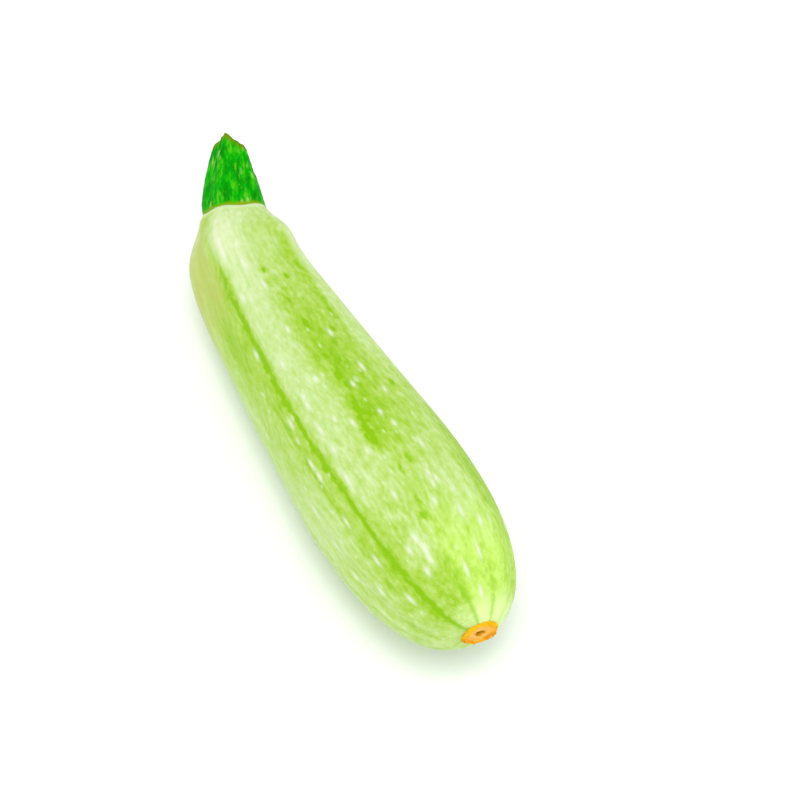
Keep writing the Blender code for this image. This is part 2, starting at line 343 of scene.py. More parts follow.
TIP_FADE_SPAN = (0.985, PAST_END, 0.006)
SECOND_LINE = (12, 0.0009, 0.45)  # degrees past the groove, half width, strength
SECOND_SPAN = (0.50, 0.70)
PALE_FROM = -21  # degrees off the crest, and on to the groove
PALE = (0.20, 0.16, 0.14, 0.12, 0.14)
PALE_NECKS = (0.22, 0.16, 0.16, 0.16, 0.12)
PALE_NECK_SHARE = 0.15
PALE_TO = (0.75, 0.50, 0.60, 0.45, 0.60)
PALE_START = -1  # far enough before the stem that nothing fades there
PALE_FADE = 0.07
CREST_EDGE = (1.4, 4, 0.12)  # degrees, how many more on the neck, over what share of the length
COLLAR_PLAIN = 0.015  # share of the length, next to the stem, that has no pale crests
STRIP = (24, 5, 0.10)  # degrees wide, degrees over which it fades, strength
STRIP_FROM = 0.12
STRIP_TO = (0.42, 0.20, 0.60, 0.45, 0.50)
STRIP_EDGE = 1.5  # degrees over which it fades into the groove
LOW_STRIP = (13, 3, 0.10)
BAND = (-34, 11, 0.21)  # degrees off the crest, half width, strength
BAND_FROM = 0.20
BAND_TO = (0.67, 0.55, 0.80, 0.60, 0.70)
SIDES = (  # greener and paler patches, two of them painted light and shade as marked: degrees from and to, shares of the length from and to, strength
    (148, 186, 0.34, 0.80, -0.16),
    (146, 164, 0.33, 0.74, -0.19),
    (152, 186, 0.89, PAST_END, -0.18),
    (112, 150, 0.79, 0.94, 0.11),
    (96, 124, 0.30, 0.50, -0.08),
    (88, 98, 0.57, 0.665, 0.28),
    (74, 86, 0.42, 0.67, 0.09),
    (86, 98, 0.03, 0.14, 0.10),
    (102, 128, 0.968, PAST_END, -0.12),
    (60, 100, 0.11, 0.28, -0.14),
    (50, 74, 0.66, 0.94, -0.24),
    # Painted shade, with greenish reflected light in it, along this flank toward the flower end.
    (18, 44, 0.60, 0.96, 0.30),
    (190, 223, 0.40, 0.97, -0.30),  # painted reflection of the white table along the lower edge, and paler where it lay on the ground
    (142, 168, BEFORE_START, 0.03, 0.30),
    (130, 140, BEFORE_START, 0.03, 0.30),
    (105, 118, BEFORE_START, 0.03, 0.26),
    (48, 102, BEFORE_START, 0.02, -0.16),
)
SIDE_FADE = 0.04  # share of the length over which they fade, or less on a short one
PAINTED_HIGHLIGHT_PATCH = (0.87, 0.030, 108, 9, -0.16)  # a painted highlight, paler skin round the glints: share of the length, degrees, each with half a width
END_GREENS = (  # degrees round, half width, strength, to what share of the length
    (112, 13, 0.30, 0.965),
    (96, 4, 0.26, PAST_END),
    (61, 4, 0.18, PAST_END),
)
END_GREENS_FROM = 0.91
END_GREENS_FADE = 0.012
END_FURROW = (0.0015, 0.30)  # half width, strength
END_FURROW_SPAN = (0.92, PAST_END, 0.015)
# Lime green on the side of the flower end, painted lighter there to stand for the light that side gets.
LIME_SIDE = (16, 97, 8, 4)  # degrees from and to, and over which each side fades
LIME_FROM = 0.85
CALM_SIDE = (148, 235, 6, 8)
CALMER = 0.5  # how much less mottled it is there
CREAM_ALL_ROUND = 0.25
CREAM_SIDES = (((-80, 102, 12, 5), 0.50), ((-80, 126, 12, 6), 0.25))
CREAM_GAPS = 0.65  # how much of the cream the narrow greens take away
TAN_FROM = 9  # degrees past the first groove
TAN_SIDE = (215, 3, 12)
TAN_SPAN = (0.035, 0.20, 0.025)
BLOT = (0.0032, 0.0018)  # length and width
BLOTS = (  # the dark blots of the clearest band: per cent of the length, degrees round
    (18.5, 90), (22.3, 75), (28.3, 87), (34.5, 85), (61, 92), (62.6, 94), (64, 95),
    (38.2, 68), (41.2, 73), (43.5, 88), (44.5, 84), (45.6, 80), (47, 77), (49, 88),
    (52, 87), (54.2, 56), (56, 90), (57.8, 92), (59.5, 89), (60.2, 94), (62, 96), (63.2, 97),
    (64.6, 97), (65.8, 96), (60, 85), (71.6, 84), (73, 92), (79, 93), (82, 96),
)
GROOVE_BLOTS = (
    (16.6, 128), (22.6, 130), (26.2, 130), (28.2, 131), (33.4, 131), (35, 132), (38.5, 132),
    (41, 132), (44.5, 132), (47, 132), (52, 131), (55.5, 131), (59, 133), (64, 133),
)
FLECK_WIDTH = 0.0014
FLECKS = (  # the largest white flecks: per cent of the length, degrees round, length in mm
    (8, 120, 7), (11, 119, 6), (10, 104, 3), (15, 105, 5), (22, 98, 5), (22.7, 120, 4),
    (34.5, 101, 3), (34.4, 135, 5), (39, 72, 4), (40.6, 118, 5), (47.7, 103, 3), (49.3, 117, 3),
    (51.5, 118, 4), (51.5, 137, 5), (52.3, 83, 3), (49, 68, 5), (55.6, 65, 3), (57.3, 108, 3),
    (57.5, 120, 6), (60, 100, 3), (60.4, 80, 3), (61, 140, 5), (62.6, 120, 4), (63.8, 77, 3),
    (64.2, 140, 5), (66.8, 103, 3), (67.1, 162, 4), (69, 124, 8), (69.7, 70, 4), (74.3, 143, 4),
    (74.6, 166, 4), (76.5, 105, 4), (75.5, 78, 4), (77, 75, 3), (77.8, 79, 3), (80.7, 84, 3),
    (81, 171, 4), (83.2, 142, 5), (83.7, 70, 6), (87, 158, 4), (86.3, 58, 4), (91, 69, 5),
    (93, 86, 5), (91.7, 142, 4), (96.6, 79, 3),
)
GLINT_WIDTH = 0.00168
# Painted highlights: glints of the lamp on the waxy skin, painted in the large flecks' white.
GLINTS = ((85, 108.8, 3.6), (87, 107.2, 4), (89, 108, 3.6), (86, 117, 3), (90.4, 115, 3.4))
PATCH_WAVES = 12
PATCHES_ROUND = 5  # a wave goes up and down fewer times than this round the fruit
PATCH_CONTRAST = 0.22


def round_from(angle, centre):
    """The angle from a centre, between half a turn back and half a turn on."""
    return (angle - centre + np.pi) % (2 * np.pi) - np.pi


def bell(distance, half_width):
    return np.exp(-((distance / half_width) ** 2))


def between(along, start, end, soft=0.03):
    """1 between two shares of the length, with soft ends."""
    return 1 / (1 + np.exp((start - along) / soft)) / (1 + np.exp((along - end) / soft))


def sector(angle, start, end, soft_start, soft_end):
    """1 between two angles, with soft edges, all in degrees."""
    half = (end - start) / 2
    off_middle = round_from(angle, (start + half) * DEGREE) / DEGREE
    past_start = np.clip((off_middle + half) / soft_start, -40, 40)
    past_end = np.clip((off_middle - half) / soft_end, -40, 40)
    return 1 / (1 + np.exp(-past_start)) / (1 + np.exp(past_end))


def slow_patches(along, angle, seed, most):
    """Patches from 0 to 1 that vary slowly, from a fixed draw of waves.

    most is how far a wave turns along the length at most, in radians.
    """
    draw = np.random.default_rng(seed)
    total = np.zeros(along.shape)
    for _ in range(PATCH_WAVES):
        around = draw.integers(0, PATCHES_ROUND)
        lengthwise = draw.uniform(-most, most)
        total += np.sin(around * angle + lengthwise * along + draw.uniform(0, 2 * np.pi))
    return np.clip(0.5 + PATCH_CONTRAST * total, 0, 1)


def mark(percent, degrees, length, width):
    """1 in the middle of a long mark on the skin, falling off over its length and width."""
    endways = bell((along - percent / 100) * FRUIT_LENGTH, length / 2)
    return endways * bell(round_from(pattern_angle, math.radians(degrees)) * body_radius, width / 2)


def groove_line(rib):
    """Where a rib's groove runs, in degrees round, all along the fruit."""
    back, back_at, back_half = SWERVE_BACK
    swerve = NECK_SWERVES[rib] * (np.exp(-along / SWERVE_SHARE) - back * bell(along - back_at, back_half))
    shift = NECK_SHIFTS[rib] * np.exp(-along / SHIFT_SHARE)
    for start, end, degrees in LOW_BENDS:
        shift = shift + degrees * between(along, start, end)
    return (RIB_ANGLE - rib * RIB_STEP) / DEGREE + GROOVE_OFF + swerve + shift


def from_line(line):
    """The distance over the skin from a line, given in degrees round."""
    return round_from(pattern_angle, line * DEGREE) * body_radius


def beam(degrees, half_width):
    """1 on a line at these degrees round, falling off beside it."""
    return bell(round_from(pattern_angle, degrees * DEGREE), half_width * DEGREE)


def groove_widths():
    """Half the width of a groove: narrow at the disc, wider where it begins, and uneven."""
    width = GROOVE_WIDTH + (END_GROOVE_WIDTH - GROOVE_WIDTH) * between(along, END_GROOVE_FROM, PAST_END)
    width += NECK_GROOVE_WIDTH * bell(along - NECK_GROOVE_AT, NECK_GROOVE_HALF)
    uneven = 1 + GROOVE_UNEVEN * (slow_patches(along, pattern_angle, 3, 34) - 0.5)
    return width * uneven * (1 - TIP_NARROWING * between(along, *TIP_NARROW_SPAN))


def rib_groove(rib):
    """How deep the green is in a rib's groove, and in the thin second line beside it."""
    line = groove_line(rib)
    faint, faint_from = FAINT_GROOVE
    strong = between(along, GROOVE_FROM[rib], GROOVE_TO[rib], GROOVE_FADE)
    reach = (faint + (1 - faint) * strong) * between(along, faint_from, GROOVE_TO[rib])
    degrees, half_width, strength = SECOND_LINE
    second = strength * bell(from_line(line + degrees), half_width) * between(along, *SECOND_SPAN)
    return GROOVE_STRENGTHS[rib] * (reach * bell(from_line(line), groove_width) + second)


def rib_green(rib):
    """What a rib's pale crest, the strip past its groove and the band before it add to the green."""
    line = groove_line(rib)
    crest = (RIB_ANGLE - rib * RIB_STEP) / DEGREE
    pale = PALE[rib] * between(along, PALE_START, PALE_TO[rib], PALE_FADE)
    pale += PALE_NECKS[rib] * np.exp(-along / PALE_NECK_SHARE)
    soft, softer, share = CREST_EDGE
    soft = soft + softer * np.exp(-along / share)
    crest_part = sector(pattern_angle, crest + PALE_FROM, line - EDGE, EDGE, soft)
    added = -pale * crest_part * (1 - np.exp(-along / COLLAR_PLAIN))
    for (width, soft, strength), first, last in (
        (STRIP, STRIP_FROM, STRIP_TO[rib]),
        (LOW_STRIP, STRIP_TO[rib], PAST_END),
    ):
        strip = sector(pattern_angle, line, line + width, STRIP_EDGE, soft)
        added += strength * strip * between(along, first, last)
    degrees, half_width, strength = BAND
    return added + strength * beam(crest + degrees, half_width) * between(along, BAND_FROM, BAND_TO[rib])


body_radius = fruit_radius(along)
green = PLAIN_GREEN + SLOW_GREEN * (slow_patches(along, pattern_angle, 11, 12) - 0.5)
green -= NECK_PALER[0] * bell(along, NECK_PALER[1])
groove = np.zeros(along.shape)
groove_width = groove_widths()
for rib in range(BROAD_RIBS):
    green += rib_green(rib)
    groove += rib_groove(rib)
for first, last, start, end, strength in SIDES:
    soft = min(SIDE_FADE, (end - start) / 6)
    green += strength * sector(angle, first, last, EDGE, EDGE) * between(along, start, end, soft)
cream = CREAM_ALL_ROUND
for side, strength in CREAM_SIDES:
    cream = cream + strength * sector(angle, *side)
for degrees, half_width, strength, end in END_GREENS:
    green += strength * beam(degrees, half_width) * between(along, END_GREENS_FROM, end, END_GREENS_FADE)
for degrees, half_width, _, _ in END_GREENS[1:]:
    cream *= 1 - CREAM_GAPS * beam(degrees, half_width)
# A painted highlight: the skin is painted paler where the lamp's gloss lies.
at, half_length, degrees, half_width, strength = PAINTED_HIGHLIGHT_PATCH
green += strength * bell(along - at, half_length) * beam(degrees, half_width)
half_width, strength = END_FURROW
for number in range(FURROWS):
    middle = (FURROW_ANGLE + number * 2 * math.pi / FURROWS) / DEGREE
    groove += strength * bell(from_line(middle), half_width) * between(along, *END_FURROW_SPAN)
groove *= 1 - TIP_FADING * between(along, *TIP_FADE_SPAN)
lime = sector(angle, *LIME_SIDE) * between(along, LIME_FROM, PAST_END)
mottled = 1 - CALMER * sector(angle, *CALM_SIDE)
blot = sum(mark(*place, *BLOT) for place in (*BLOTS, *GROOVE_BLOTS))
# The large white flecks, with the painted highlights added to them.
fleck_and_painted_highlight = sum(mark(*place, length / 1000, FLECK_WIDTH) for *place, length in FLECKS)
fleck_and_painted_highlight += sum(mark(*place, length / 1000, GLINT_WIDTH) for *place, length in GLINTS)
tanned = sector(pattern_angle, groove_line(0) + TAN_FROM, *TAN_SIDE) * between(along, *TAN_SPAN)
skin_traits = {
    "straight": straight,
    "along": along,
    "green": green,
    "groove": np.clip(groove, 0, 1),
    "blot": np.clip(blot, 0, 1),
    "fleck_and_painted_highlight": np.clip(fleck_and_painted_highlight, 0, 1),
    "blush": tanned,
    "lime": lime,
    "cream": cream,
    "mottled": mottled,
}


def wrapped_map(row, across):
    """Rows run up the flat map and columns across it, a little inside its edges."""
    up = row / (len(skin_rows) - 1)
    return MAP_MARGIN + (1 - 2 * MAP_MARGIN) * np.stack([across, up], -1)


fruit = turned_piece("zucchini_skin", skin_rows, skin_traits, wrapped_map)


def put(tree, kind, inputs=None, **settings):
    """Adds a node, sets its own properties, and gives its inputs values or links."""
    made = tree.nodes.new(kind)
    for key, value in settings.items():
        setattr(made, key, value)
    for key, value in (inputs or {}).items():
        if isinstance(value, bpy.types.NodeSocket):
            tree.links.new(value, made.inputs[key])
        else:
            made.inputs[key].default_value = value
    return made


def calc(tree, operation, *values, clamp=False):
    """The result of a Math node on values or sockets."""
    inputs = dict(enumerate(values))
    return put(tree, "ShaderNodeMath", inputs, operation=operation, use_clamp=clamp).outputs[0]


def times(tree, first, second):
    return calc(tree, "MULTIPLY", first, second)


def plus(tree, value, added, strength=1.0):
    """value with another added to it at some strength."""
    return calc(tree, "MULTIPLY_ADD", added, strength, value)


def centred(tree, value):
    return calc(tree, "SUBTRACT", value, 0.5)


def trait(tree, name, output="Fac"):
    """What the mesh says of a point, by name."""
    return put(tree, "ShaderNodeAttribute", attribute_name=name).outputs[output]


def noise(tree, place, scale, detail=2.0, roughness=0.5):
    inputs = {"Vector": place, "Scale": scale, "Detail": detail, "Roughness": roughness}
    return put(tree, "ShaderNodeTexNoise", inputs).outputs["Fac"]


def spread(tree, value, low, high, start=0.0, end=1.0):
    """value from low to high, made to run smoothly from start to end."""
    inputs = {"Value": value, "From Min": low, "From Max": high, "To Min": start, "To Max": end}
    return put(tree, "ShaderNodeMapRange", inputs, interpolation_type="SMOOTHSTEP").outputs[0]


LIGHT = 1.33  # how much brighter than its own colour a thing shows on the table
END_LIGHT = 1.06  # and how much brighter on the flower end: less, so the colours given with it are painted lighter, to stand for light that end lacks
SHEEN = 0.018  # and what its gloss adds


def paint(red, green, blue, light=LIGHT):
    """The colour of a surface that shows as these screen values, 0 to 255, in the light."""
    shares = (channel / 255 for channel in (red, green, blue))
    linear = (s / 12.92 if s <= 0.04045 else ((s + 0.055) / 1.055) ** 2.4 for s in shares)
    return (*(max(0.0, value - SHEEN) / light for value in linear), 1.0)


def over(tree, under, colour, amount):
    """colour laid over another by an amount from 0 to 1."""
    mixer = put(tree, "ShaderNodeMix", data_type="RGBA", clamp_factor=True)
    for place, value in ((0, amount), (6, under), (7, colour)):
        if isinstance(value, bpy.types.NodeSocket):
            tree.links.new(value, mixer.inputs[place])
        else:
            mixer.inputs[place].default_value = value
    return mixer.outputs[2]


def ramp(tree, value, stops):
    """Colours in turn along a value; stops are (place, colour)."""
    made = put(tree, "ShaderNodeValToRGB", {"Fac": value})
    elements = made.color_ramp.elements
    while len(elements) < len(stops):
        elements.new(0.5)
    for element, (place, colour) in zip(elements, stops):
        element.position = place
        element.color = colour
    return made.outputs["Color"]


def group(name, inputs, outputs):
    """An empty node group with number or vector inputs, and its two end nodes."""
    tree = bpy.data.node_groups.new(name, "ShaderNodeTree")
    for title, kind in inputs:
        tree.interface.new_socket(name=title, in_out="INPUT", socket_type=kind)
    for title, kind in outputs:
        tree.interface.new_socket(name=title, in_out="OUTPUT", socket_type=kind)
    start = tree.nodes.new("NodeGroupInput")
    end = tree.nodes.new("NodeGroupOutput")
    return tree, start.outputs, end


def stretched(tree, given):
    """A group's own place, in units of what it is given as Across, and longer ones lengthwise."""
    length = calc(tree, "DIVIDE", 1.0, times(tree, given["Across"], given["Stretch"]))
    width = calc(tree, "DIVIDE", 1.0, given["Across"])
    scale = put(tree, "ShaderNodeCombineXYZ", {"X": length, "Y": width, "Z": width})
    inputs = {0: given["Place"], 1: scale.outputs[0]}
    return put(tree, "ShaderNodeVectorMath", inputs, operation="MULTIPLY").outputs[0]


def drawn_out_group():
    """Noise that is drawn out along the fruit, as every marking on it is."""
    floats = [("Across", "NodeSocketFloat"), ("Stretch", "NodeSocketFloat")]
    outputs = [("Fac", "NodeSocketFloat")]
    tree, given, end = group("drawn_out_noise", [("Place", "NodeSocketVector"), *floats], outputs)
    tree.links.new(noise(tree, stretched(tree, given), 1.0, 3.0, 0.55), end.inputs["Fac"])
    return tree


def flecks_group():
    """Pale flecks drawn out along the fruit, of many sizes, in a share of their cells."""
    floats = ("Across", "Stretch", "Smallest", "Largest", "Share")
    inputs = [("Place", "NodeSocketVector")] + [(title, "NodeSocketFloat") for title in floats]
    tree, given, end = group("flecks", inputs, [("Mask", "NodeSocketFloat")])
    inputs = {"Vector": stretched(tree, given), "Scale": 1.0, "Randomness": 1.0}
    cells = put(tree, "ShaderNodeTexVoronoi", inputs)
    draws = put(tree, "ShaderNodeSeparateColor", {"Color": cells.outputs["Color"]})
    rare = calc(tree, "POWER", draws.outputs["Red"], 3.0)
    inputs = {"Value": rare, "To Min": given["Smallest"], "To Max": given["Largest"]}
    size = put(tree, "ShaderNodeMapRange", inputs).outputs[0]
    mask = spread(tree, cells.outputs["Distance"], size, times(tree, size, 0.35))
    there = calc(tree, "LESS_THAN", draws.outputs["Green"], given["Share"])
    tree.links.new(times(tree, mask, there), end.inputs["Mask"])
    return tree


drawn_out_tree = drawn_out_group()
flecks_tree = flecks_group()


def grouped(tree, node_tree, output, **inputs):
    """Places a node group with its own values and gives one of its outputs."""
    made = put(tree, "ShaderNodeGroup", node_tree=node_tree)
    for title, value in inputs.items():
        if isinstance(value, bpy.types.NodeSocket):
            tree.links.new(value, made.inputs[title])
        else:
            made.inputs[title].default_value = value
    return made.outputs[output]


def drawn_out(tree, place, across, stretch):
    """Noise with grains this wide, and this many times as long."""
    return grouped(tree, drawn_out_tree, "Fac", Place=place, Across=across, Stretch=stretch)


def layered(tree, colour, layers):
    """Lays colours over another in turn; layers are (colour, amount)."""
    for laid, amount in layers:
        colour = over(tree, colour, laid, amount)
    return colour


def material(name):
    """An empty material, its tree and its Principled shader."""
    made = bpy.data.materials.new(name)
    made.use_nodes = True
    return made, made.node_tree, made.node_tree.nodes["Principled BSDF"]


def roughen(tree, shader, roughness, height, strength, distance, gloss):
    """Gives a shader its roughness, its fine relief and how glossy it is."""
    tree.links.new(roughness, shader.inputs["Roughness"])
    bump = put(tree, "ShaderNodeBump", {"Height": height, "Strength": strength, "Distance": distance})
    tree.links.new(bump.outputs["Normal"], shader.inputs["Normal"])
    shader.inputs["Specular IOR Level"].default_value = gloss


SKIN_GREENS = (  # from a pale rib to a deep furrow
    (0.0, paint(240, 253, 200)),
    (0.22, paint(216, 243, 164)),
    (0.45, paint(196, 231, 116)),
    (0.68, paint(177, 221, 74)),
    (0.95, paint(152, 209, 8)),
)
TAN = paint(205, 215, 108)
TAN_SPECK = paint(220, 200, 132)
COLLAR_CREAM = paint(238, 253, 200)
# The next two colours are painted lighter with END_LIGHT, to stand for light the flower end lacks.
LIME_PAINTED_LIGHTER = paint(206, 248, 112, END_LIGHT)
FLOWER_CREAM = paint(232, 253, 178, END_LIGHT)
SMALL_FLECK = paint(236, 250, 206)
# The large flecks' white, also used for the painted highlights.
LARGE_FLECK_AND_HIGHLIGHT = paint(249, 255, 228)


def skin_green(tree, coarse, mottle, streak, fine):
    """How green the skin is, from a pale rib to a deep furrow."""
    along = trait(tree, "along")
    green = trait(tree, "green")
    uneven = times(tree, centred(tree, coarse), 0.55)
    uneven = plus(tree, uneven, centred(tree, mottle), 0.95)
    uneven = plus(tree, uneven, centred(tree, fine), 0.15)
    calm = times(tree, trait(tree, "mottled"), spread(tree, green, 0.15, 0.50, 0.50, 1.0))
    calm = times(tree, calm, spread(tree, along, 0.02, 0.30, 0.40, 1.0))
    streaky_neck = spread(tree, along, 0.05, 0.35, 0.75, 0.30)
    streaky = plus(tree, streaky_neck, spread(tree, along, 0.55, 0.85, 0.0, 0.40))
    green = plus(tree, green, uneven, calm)
    green = plus(tree, green, centred(tree, streak), streaky)
    green = plus(tree, green, trait(tree, "blot"), spread(tree, mottle, 0.34, 0.60, 0.25, 0.75))
    return plus(tree, green, trait(tree, "groove"), spread(tree, mottle, 0.30, 0.58, 0.38, 0.68))


def skin_flecks(tree, place):
    """The small white flecks, fewer at both ends and none on a blot."""
    along = trait(tree, "along")
    flecks = grouped(
        tree, flecks_tree, "Mask", Place=place, Across=0.0034, Stretch=2.4, Smallest=0.17,
        Largest=0.34, Share=0.7,
    )
    at_ends = times(tree, spread(tree, along, 0.20, 0.35), spread(tree, along, 0.95, 0.88, 0.0, 0.55))
    off_blots = spread(tree, trait(tree, "blot"), 0.5, 0.1)
    return times(tree, flecks, times(tree, at_ends, off_blots))


def skin_material():
    made, tree, shader = material("waxy_speckled_skin")
    place = trait(tree, "straight", "Vector")
    along = trait(tree, "along")
    fleck_and_painted_highlight = trait(tree, "fleck_and_painted_highlight")
    coarse = drawn_out(tree, place, 0.0036, 2.0)
    mottle = drawn_out(tree, place, 0.0015, 2.4)
    streak = drawn_out(tree, place, 0.0022, 6.0)
    fine = drawn_out(tree, place, 0.0008, 2.0)
    green = skin_green(tree, coarse, mottle, streak, fine)
    blush = times(tree, trait(tree, "blush"), spread(tree, coarse, 0.3, 0.65, 0.55, 0.85))
    limy = times(tree, trait(tree, "lime"), spread(tree, green, 0.85, 0.30, 0.35, 0.62))
    off_groove = calc(tree, "SUBTRACT", 1.0, trait(tree, "groove"), clamp=True)
    near_flower = times(tree, spread(tree, along, 0.962, 0.992, 0.0, 0.75), trait(tree, "cream"))
    colour = layered(tree, ramp(tree, green, SKIN_GREENS), (
        (TAN, blush),
        (TAN_SPECK, times(tree, spread(tree, streak, 0.50, 0.66, 0.0, 0.6), blush)),
        (COLLAR_CREAM, spread(tree, along, 0.008, 0.001, 0.0, 0.80)),
        (LIME_PAINTED_LIGHTER, limy),
        (FLOWER_CREAM, times(tree, near_flower, off_groove)),
        (SMALL_FLECK, skin_flecks(tree, place)),
        (LARGE_FLECK_AND_HIGHLIGHT, times(tree, fleck_and_painted_highlight, 0.92)),
    ))
    tree.links.new(colour, shader.inputs["Base Color"])
    rough = plus(tree, calc(tree, "MULTIPLY_ADD", fine, 0.22, 0.34), fleck_and_painted_highlight, 0.12)
    height = plus(tree, plus(tree, times(tree, fine, 0.8), fleck_and_painted_highlight, 0.5), mottle, 0.9)
    roughen(tree, shader, rough, height, 0.4, 0.0003, 0.11)
    shader.inputs["Subsurface Weight"].default_value = 0.08
    shader.inputs["Subsurface Radius"].default_value = (0.9, 1.0, 0.35)
    shader.inputs["Subsurface Scale"].default_value = 0.0022
    return made


fruit.data.materials.append(skin_material())
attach(fruit, "root")
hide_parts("fruit")

# The stem: the dark green stalk that the fruit hung from, woody and five-ribbed, with paler
# dashes along it. It grew from the fruit, its foot is edged with olive, and a knife cut it
# on the slant, which left a dry fibrous face with a browned rim.
STEM_TIP_DIAMETER = 0.0108
STEM_TAPER_POWER = 1.42
STEM_FOOT_RIB_HEIGHT = 0.06
STEM_TIP_RIB_HEIGHT = 0.11
STEM_RIB_RISE = 6  # the ribs reach their full height in a sixth of the stem's length
STEM_GROOVE_DEPTH = 0.035
STEM_CLEARANCE = 0.00005
CUT_DIRECTION = (-0.62, 0.69, -0.37)  # the knife's plane, facing away
CUT_NORMAL = np.array(CUT_DIRECTION) / math.hypot(*CUT_DIRECTION)
CUT_AT = 0.0174  # along the stem, where the knife crossed its middle
OVERLENGTH = 1.4  # how much longer the stem was before the cut
STEM_COLUMNS = 240
STEM_ROWS = 120
CUT_ROWS = 36
HALVINGS = 30  # steps that find where each column meets the cut
FOOT_DEPTH = 0.0006  # how far the foot runs into the fruit
FLUTES = (15, 25)  # two kinds, and how many of each go round
STEM_FLUTING = 0.014
FLUTING_RISE = 2.5
STEM_KNOBS = 0.00005
KNOB_SPREAD = 3.5
CUT_DISH = 0.0011  # how deep the cut face has dried in
DISH_RISE = 2.2
DISH_POWER = 0.7
RIM_CURL = 0.0003  # how far its edge stands up
RIM_CURL_RISE = 6
FIBRE_HEIGHT = 0.00012
SIDE_MAP_HEIGHT = 0.55  # of the flat map, for the stem's side
CUT_MAP_MIDDLE = (0.25, 0.79)
CUT_MAP_RADIUS = 0.19


def stem_radius(station, angle):
    """The stem's radius: a cone, its five ribs, a groove beside each, and fine fluting."""
    out = np.clip(-station / STEM_LENGTH, 0, OVERLENGTH)
    half_base = fruit_radius(0.0) - STEM_CLEARANCE
    half_tip = STEM_TIP_DIAMETER / 2
    cone = half_base + (half_tip - half_base) * out**STEM_TAPER_POWER
    full = STEM_FOOT_RIB_HEIGHT + (STEM_TIP_RIB_HEIGHT - STEM_FOOT_RIB_HEIGHT) * out
    rib = BODY_RIB_HEIGHT + (full - BODY_RIB_HEIGHT) * np.minimum(1, STEM_RIB_RISE * out)
    relief = 1 + rib * broad_rib(angle) - STEM_GROOVE_DEPTH * out * furrow(angle)
    fluting = np.sin(FLUTES[0] * (angle - RIB_ANGLE) + 1.0) + 0.6 * np.sin(FLUTES[1] * angle + 4 * out)
    relief = relief + STEM_FLUTING * np.minimum(1, FLUTING_RISE * out) * fluting
    return cone * relief + STEM_KNOBS * fine_waves(KNOB_SPREAD * out, angle)


def stem_point(station, angle):
    return bent(station, stem_radius(station, angle), angle)


stem_angle = np.linspace(0, 2 * np.pi, STEM_COLUMNS, endpoint=False)
cut_point = bent(np.array(-CUT_AT), np.array(0.0), np.array(0.0))
near = np.zeros(STEM_COLUMNS)
far = np.full(STEM_COLUMNS, -OVERLENGTH * STEM_LENGTH)
for _ in range(HALVINGS):
    half = (near + far) / 2
    beyond = (stem_point(half, stem_angle) - cut_point) @ CUT_NORMAL > 0
    far = np.where(beyond, half, far)
    near = np.where(beyond, near, half)
share, spoke = np.meshgrid(np.linspace(1, 0, STEM_ROWS), stem_angle, indexing="ij")
stem_station = FOOT_DEPTH + (far[None] - FOOT_DEPTH) * share
side_rows = stem_point(stem_station, spoke)
cut_edge = side_rows[0]
inward = np.linspace(0.97, 0, CUT_ROWS, endpoint=False)[:, None, None]
face_rows = cut_edge + (cut_edge.mean(0) - cut_edge) * inward
face_inward = np.repeat(inward[..., 0], STEM_COLUMNS, axis=1)
curl = RIM_CURL * np.sin(np.pi * np.minimum(1, RIM_CURL_RISE * face_inward))
fibres = np.sin(37 * spoke[:1] + 9 * face_inward) * np.sin(21 * face_inward + 3 * spoke[:1])
dish = CUT_DISH * np.minimum(1, DISH_RISE * face_inward) ** DISH_POWER - curl + FIBRE_HEIGHT * fibres
face_rows = face_rows - CUT_NORMAL * dish[..., None]
stem_rows = pitched(np.concatenate([face_rows, side_rows])) + lay
flat_radius = stem_radius(stem_station, spoke)
side_straight = np.stack([stem_station, flat_radius * np.cos(spoke), flat_radius * np.sin(spoke)], -1)
face_straight = side_straight[0] * [1, 0, 0] + side_straight[0] * [0, 1, 1] * (1 - inward)
stem_traits = {
    "straight": np.concatenate([face_straight, side_straight]),
    "up_stem": np.concatenate([np.ones_like(face_inward), share]),
    "from_cut": np.concatenate([np.zeros_like(face_inward), stem_station - far[None]]),
    "into_cut": np.concatenate([face_inward, np.zeros_like(share)]),
}


def stem_map(row, across):
    """The side lies along the lower part of the flat map, and the cut face is a disc above it."""
    up = MAP_MARGIN + SIDE_MAP_HEIGHT * (row - CUT_ROWS) / (STEM_ROWS - 1)
    side = np.stack([MAP_MARGIN + (1 - 2 * MAP_MARGIN) * across, up], -1)
    reach = CUT_MAP_RADIUS * (row + 1) / CUT_ROWS
    turn = 2 * np.pi * across
    disc = CUT_MAP_MIDDLE + np.stack([reach * np.cos(turn), reach * np.sin(turn)], -1)
    return np.where((row < CUT_ROWS)[:, None], disc, side)


stem = turned_piece("zucchini_stem", stem_rows, stem_traits, stem_map)


STEM_GREENS = (
    (0.42, paint(0, 150, 0)),
    (0.52, paint(0, 172, 0)),
    (0.60, paint(40, 196, 0)),
    (0.72, paint(92, 210, 10)),
)
PALE_STREAK = paint(104, 214, 50)
PALE_DASH = paint(158, 222, 104)
FOOT_OLIVE = paint(150, 182, 0)
RIM_BROWN = paint(128, 150, 14)
PITH = (  # from the rim to the middle
    (0.0, paint(110, 120, 30)),
    (0.14, paint(96, 140, 30)),
    (0.30, paint(150, 176, 70)),
    (0.62, paint(196, 204, 124)),
    (1.0, paint(172, 168, 92)),
)
PITH_GRAIN = paint(112, 104, 44)


